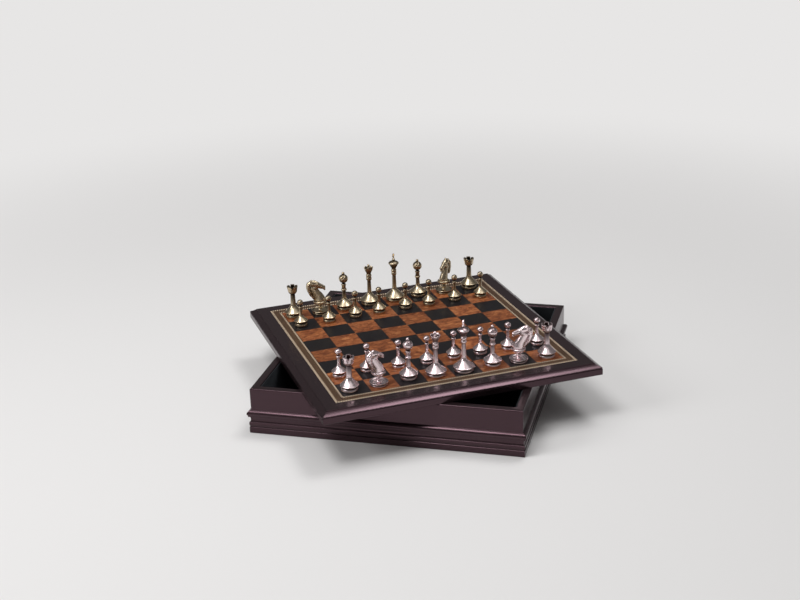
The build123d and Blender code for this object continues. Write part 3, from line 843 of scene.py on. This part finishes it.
def flowing(stations, rows=26, columns=20):
    """A closed rounded form through stations (x, y, z, half height, half width), each an
    oval square to the line through the stations; the stations are joined smoothly."""
    stations = np.asarray(stations, float)
    marks = np.linspace(0, len(stations) - 1, rows)
    i = np.clip(marks.astype(int), 0, len(stations) - 2)
    t = (marks - i)[:, None]
    before, beyond = 2 * stations[:1] - stations[1:2], 2 * stations[-1:] - stations[-2:-1]
    padded = np.concatenate([before, stations, beyond])
    a, b, c, d = (padded[i + k] for k in range(4))
    line = 0.5 * (2 * b + (c - a) * t + (2 * a - 5 * b + 4 * c - d) * t ** 2
                  + (3 * b - a - 3 * c + d) * t ** 3)
    along = np.gradient(line[:, :3], axis=0)
    along /= np.linalg.norm(along, axis=1, keepdims=True)
    across = np.cross(along, (0.0, 1.0, 0.0))
    across /= np.linalg.norm(across, axis=1, keepdims=True)
    third = np.cross(along, across)
    angle = np.linspace(0, 2 * math.pi, columns, endpoint=False)
    ease = np.sqrt(np.clip(1 - np.abs(np.linspace(-1, 1, rows)) ** 8, 0.02, 1))[:, None, None]
    points = line[:, None, :3] + ease * (
        across[:, None] * (line[:, 3, None] * np.cos(angle))[..., None]
        + third[:, None] * (line[:, 4, None] * np.sin(angle))[..., None])
    here = np.arange(columns)
    after = (here + 1) % columns
    faces = [here[::-1].tolist(), ((rows - 1) * columns + here).tolist()]
    for k in range(rows - 1):
        low = k * columns
        faces += np.stack([low + here, low + after, low + columns + after, low + columns + here],
                          1).tolist()
    return points.reshape(-1, 3), faces


def mane_lock(side, start, low, out):
    """One lock of the mane on one side of the neck, from one height down to another."""
    return flowing([(-9.6, 1.9 * side, start, 1.0, 1.1),
                    (-11.6 - 0.3 * out, 2.1 * side, start - 2.4, 1.5, 1.4),
                    (-12.6 + 0.3 * out, 2.3 * side, (start + low) / 2 - 0.6, 1.1, 1.2),
                    (-11.1 + 0.4 * out, 2.3 * side, low, 1.0, 1.1),
                    (-9.7 + 0.4 * out, 2.2 * side, low - 1.6, 0.6, 0.6)])


def horse():
    """The forms of the horse, looking along +X: neck, head, cheek, lower lip, then on each
    side ear, brow, nostril and locks, and last the crest of the mane and the forelock."""
    forms = [flowing([(0.6, 0, 13.4, 6.2, 5.2), (0.5, 0, 16.4, 6.4, 4.9), (-1.0, 0, 20.4, 5.8, 4.1),
                      (-3.9, 0, 25.4, 4.8, 3.4), (-6.6, 0, 30.2, 4.2, 2.9), (-8.4, 0, 34.0, 3.8, 2.6)]),
             flowing([(-11.6, 0, 35.6, 2.4, 1.9), (-9.4, 0, 36.3, 3.5, 2.7), (-6.2, 0, 35.8, 4.1, 3.1),
                      (-2.4, 0, 34.4, 4.0, 2.9), (1.4, 0, 33.0, 3.1, 2.3), (4.8, 0, 31.7, 2.5, 2.0),
                      (7.2, 0, 30.8, 2.3, 2.0)]),
             flowing([(-7.0, 0, 32.2, 2.6, 2.6), (-4.6, 0, 31.9, 3.7, 3.2),
                      (-1.8, 0, 31.9, 2.8, 2.5)], 16),
             flowing([(4.8, 0, 29.6, 0.8, 1.4), (6.2, 0, 29.1, 1.0, 1.5), (7.3, 0, 28.9, 0.8, 1.2)], 10)]
    for side in (-1, 1):
        forms.append(flowing([(-8.2, 1.7 * side, 37.6, 1.3, 1.0), (-8.9, 2.0 * side, 39.2, 1.0, 0.8),
                              (-9.2, 2.1 * side, 40.3, 0.4, 0.3)], 12, 12))
        forms.append(flowing([(-3.4, 2.4 * side, 36.3, 0.9, 0.6), (-1.9, 2.5 * side, 35.7, 1.0, 0.7),
                              (-0.4, 2.2 * side, 34.9, 0.7, 0.5)], 10, 12))
        forms.append(flowing([(5.6, 1.5 * side, 32.0, 0.7, 0.5), (6.6, 1.6 * side, 31.6, 0.8, 0.5)],
                             8, 12))
        forms += [mane_lock(side, *lock) for lock in mane_locks]
    forms.append(flowing([(-9.4, 0, 37.6, 1.6, 2.2), (-12.0, 0, 35.8, 2.2, 2.4),
                          (-13.0, 0, 31.6, 1.9, 2.0), (-12.0, 0, 27.4, 1.6, 1.7),
                          (-9.6, 0, 22.6, 1.3, 1.3), (-7.4, 0, 18.4, 1.0, 1.0),
                          (-5.4, 0, 15.6, 0.9, 0.8)]))
    forms.append(flowing([(-7.6, 0, 39.4, 1.1, 1.3), (-5.0, 0.2, 38.9, 1.3, 1.4),
                          (-2.4, 0, 37.2, 0.9, 1.0)], 12, 12))
    points, faces = [], []
    start = 0
    for more, sides in forms:
        points.append(more)
        faces += [[i + start for i in side] for side in sides]
        start += len(more)
    return np.concatenate(points), faces


def one_casting(points, faces, voxel):
    """Overlapping closed forms become one skin with small fillets where they meet: its
    points, faces and how deep each point lies between its neighbours, which the metal paints as shade."""
    rough = link_mesh("rough_horse", points * mm, faces)
    grow = rough.modifiers.new("grow", "REMESH")
    grow.mode = "VOXEL"
    grow.voxel_size = voxel
    soften = rough.modifiers.new("soften", "SMOOTH")
    soften.factor = 0.5
    soften.iterations = 3
    ready = rough.evaluated_get(bpy.context.evaluated_depsgraph_get()).to_mesh()
    spots, outward = np.empty(len(ready.vertices) * 3), np.empty(len(ready.vertices) * 3)
    ready.vertices.foreach_get("co", spots)
    ready.vertices.foreach_get("normal", outward)
    corners = [list(face.vertices) for face in ready.polygons]
    rough.to_mesh_clear()
    soften.iterations = 30
    worn = rough.evaluated_get(bpy.context.evaluated_depsgraph_get()).to_mesh()
    filled = np.empty(len(worn.vertices) * 3)
    worn.vertices.foreach_get("co", filled)
    rough.to_mesh_clear()
    bpy.data.objects.remove(rough)
    sunk = ((filled - spots) * outward).reshape(-1, 3).sum(1) / mm
    return spots.reshape(-1, 3) / mm, corners, np.clip(sunk / full_hollow, 0, 1)


knight = man_mesh(spun(foot_of_knight()), [one_casting(*horse(), casting_voxel)], dish_share)
knight_faces_to = {           # degrees anticlockwise from the board's own right
    "silver_knight_b": 22, "silver_knight_g": 162, "bronze_knight_b": -18, "bronze_knight_g": 222}
for name, turn in knight_faces_to.items():
    set_down(name, *knight, lid_turn + math.radians(turn))
